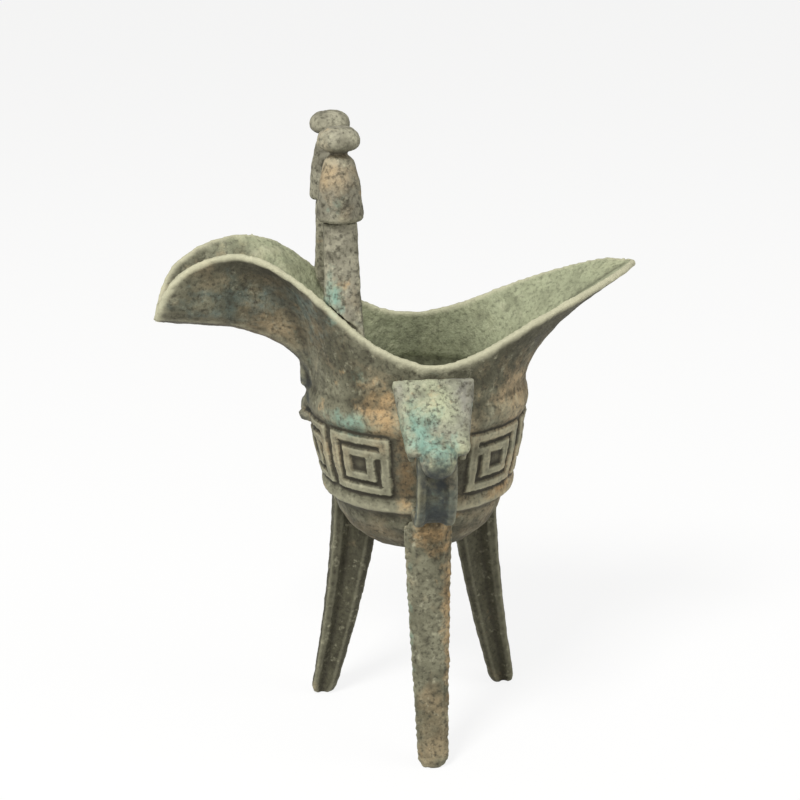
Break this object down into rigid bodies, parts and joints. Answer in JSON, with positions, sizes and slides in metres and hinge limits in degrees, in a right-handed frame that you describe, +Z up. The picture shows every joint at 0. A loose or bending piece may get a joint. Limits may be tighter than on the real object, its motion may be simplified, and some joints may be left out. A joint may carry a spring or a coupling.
{
  "type": "three-legged wine cup",
  "caption": "Archaic bronze wine cup: round bowl with open spout and pointed tail, capped rim posts, strap handle under a beast mask, and splayed blade legs.",
  "frame": {"origin": "centre of the box's underside, on the surface that the feet stand on", "axes": "+Z up, +X towards the tail, -Y towards the handle"},
  "size_m": [0.1482, 0.0888, 0.195],
  "materials": {
    "olive_patina": "matte grey-olive burial patina on cast bronze",
    "dark_patina": "matte dark brown-green patina on cast bronze",
    "mask_patina": "matte patina with turquoise and ochre deposits on cast bronze"
  },
  "bodies": {
    "root": {"vessel": "olive_patina", "leg_front": "dark_patina", "leg_tail_side": "dark_patina", "leg_spout_side": "dark_patina", "handle_strap": "dark_patina", "handle_mask": "mask_patina", "post_near": "olive_patina", "post_far": "olive_patina", "post_cap_near": "olive_patina", "post_cap_far": "olive_patina"}
  },
  "joints": []
}
